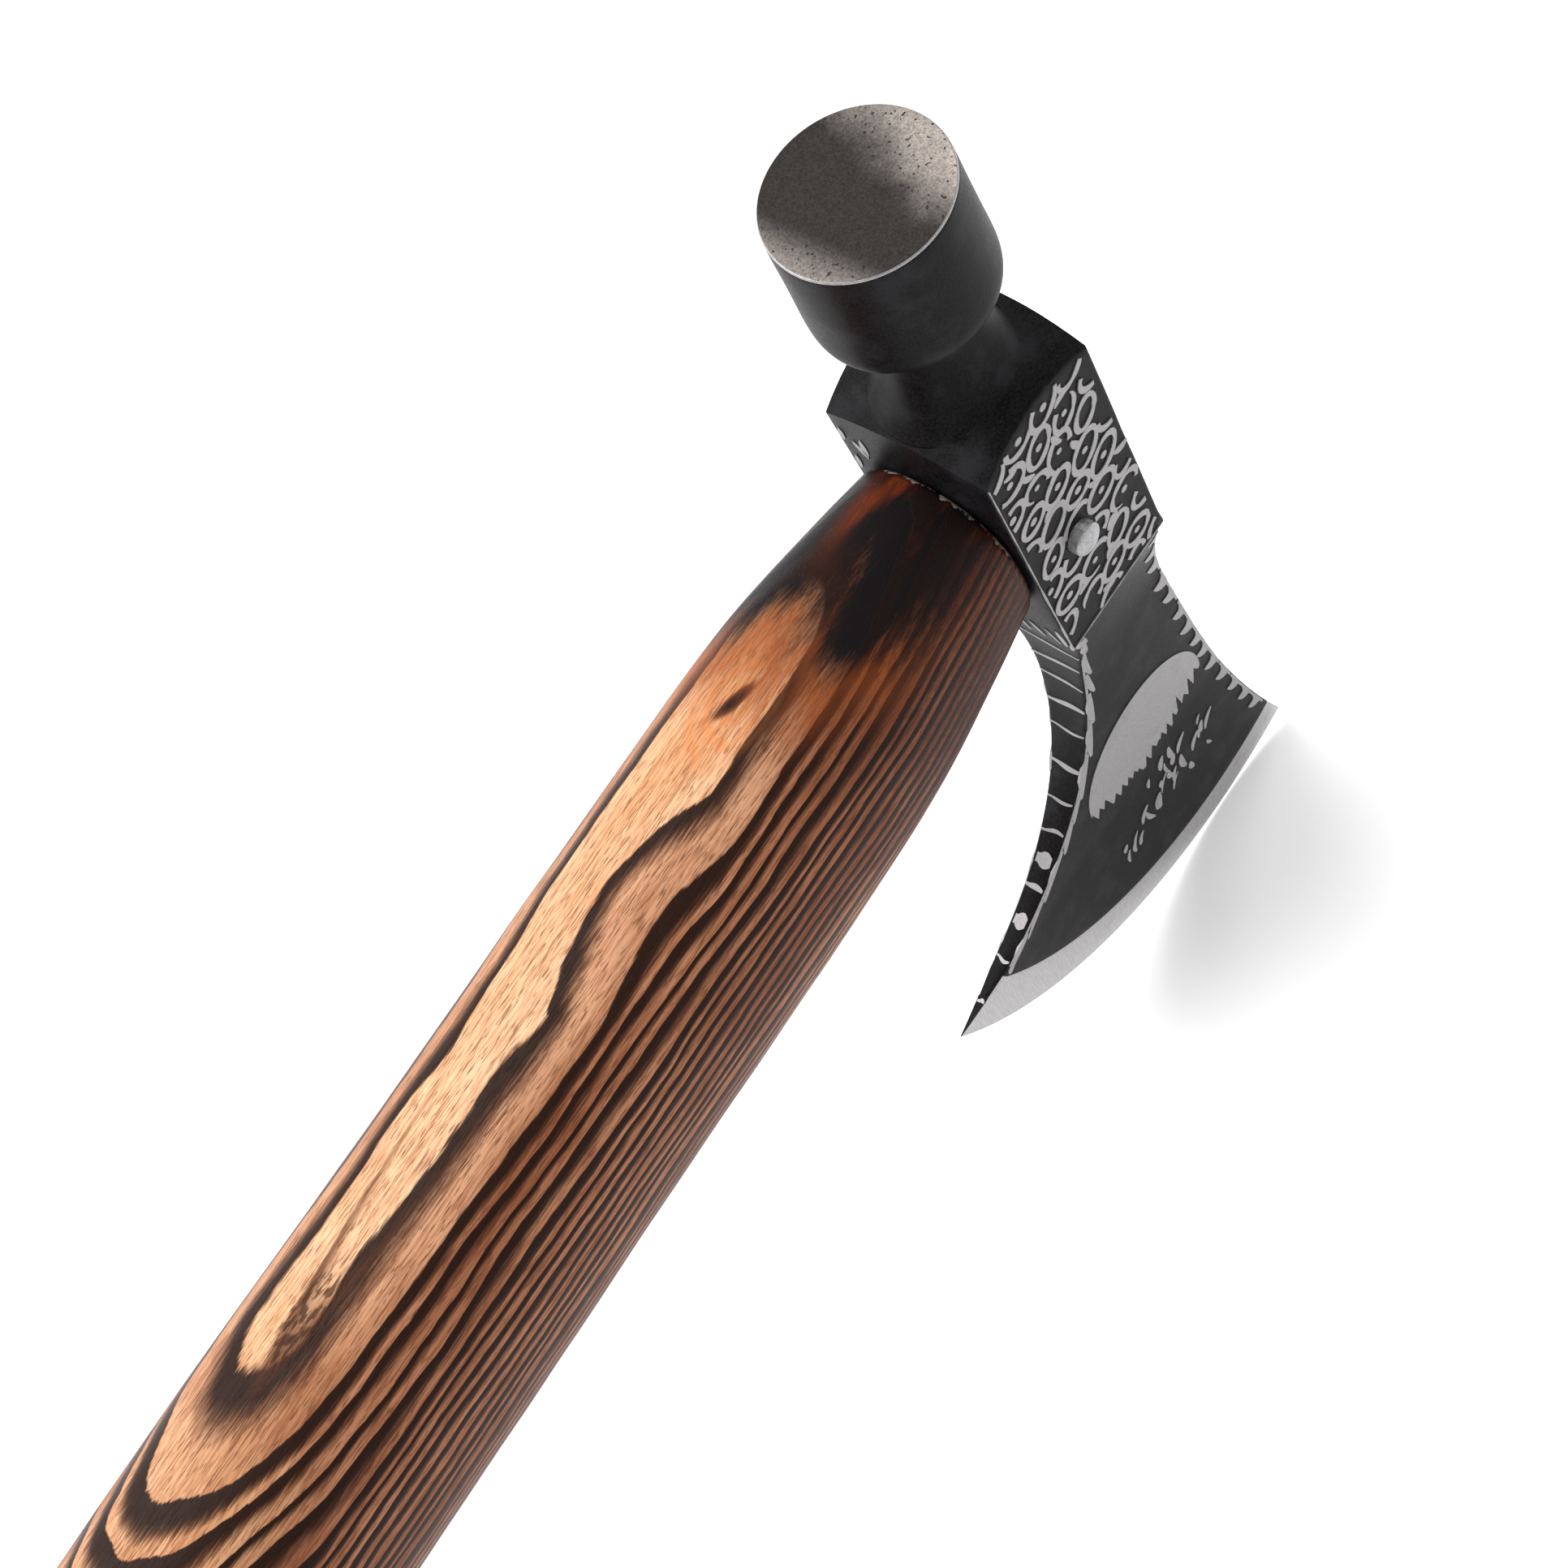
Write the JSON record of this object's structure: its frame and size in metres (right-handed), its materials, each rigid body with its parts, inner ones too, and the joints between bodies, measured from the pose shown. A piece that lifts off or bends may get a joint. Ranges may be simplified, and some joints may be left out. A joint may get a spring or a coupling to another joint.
{
  "type": "bearded hatchet with hammer poll",
  "caption": "Forged bearded hatchet with a round hammer poll, wedged and pinned on an oval torched-ash handle.",
  "frame": {"origin": "centre of the handle's butt face", "axes": "+X along the handle to the top of the head, +Z to the hammer face (edge towards -Z), +Y to the left cheek"},
  "size_m": [0.4376, 0.0366, 0.2003],
  "materials": {
    "blackened_steel": "forged steel, etched black, satin",
    "bright_steel": "bare steel, ground and worn, satin",
    "torched_ash": "ash with its grain burnt dark, oiled, satin",
    "wedge_wood": "hardwood end grain, oiled"
  },
  "bodies": {
    "root": {"axe_head": "blackened_steel", "handle": "torched_ash", "kerf_wedge": "wedge_wood", "cross_pin": "bright_steel", "steel_wedge_poll_side": "bright_steel", "steel_wedge_blade_side": "bright_steel"}
  },
  "joints": []
}
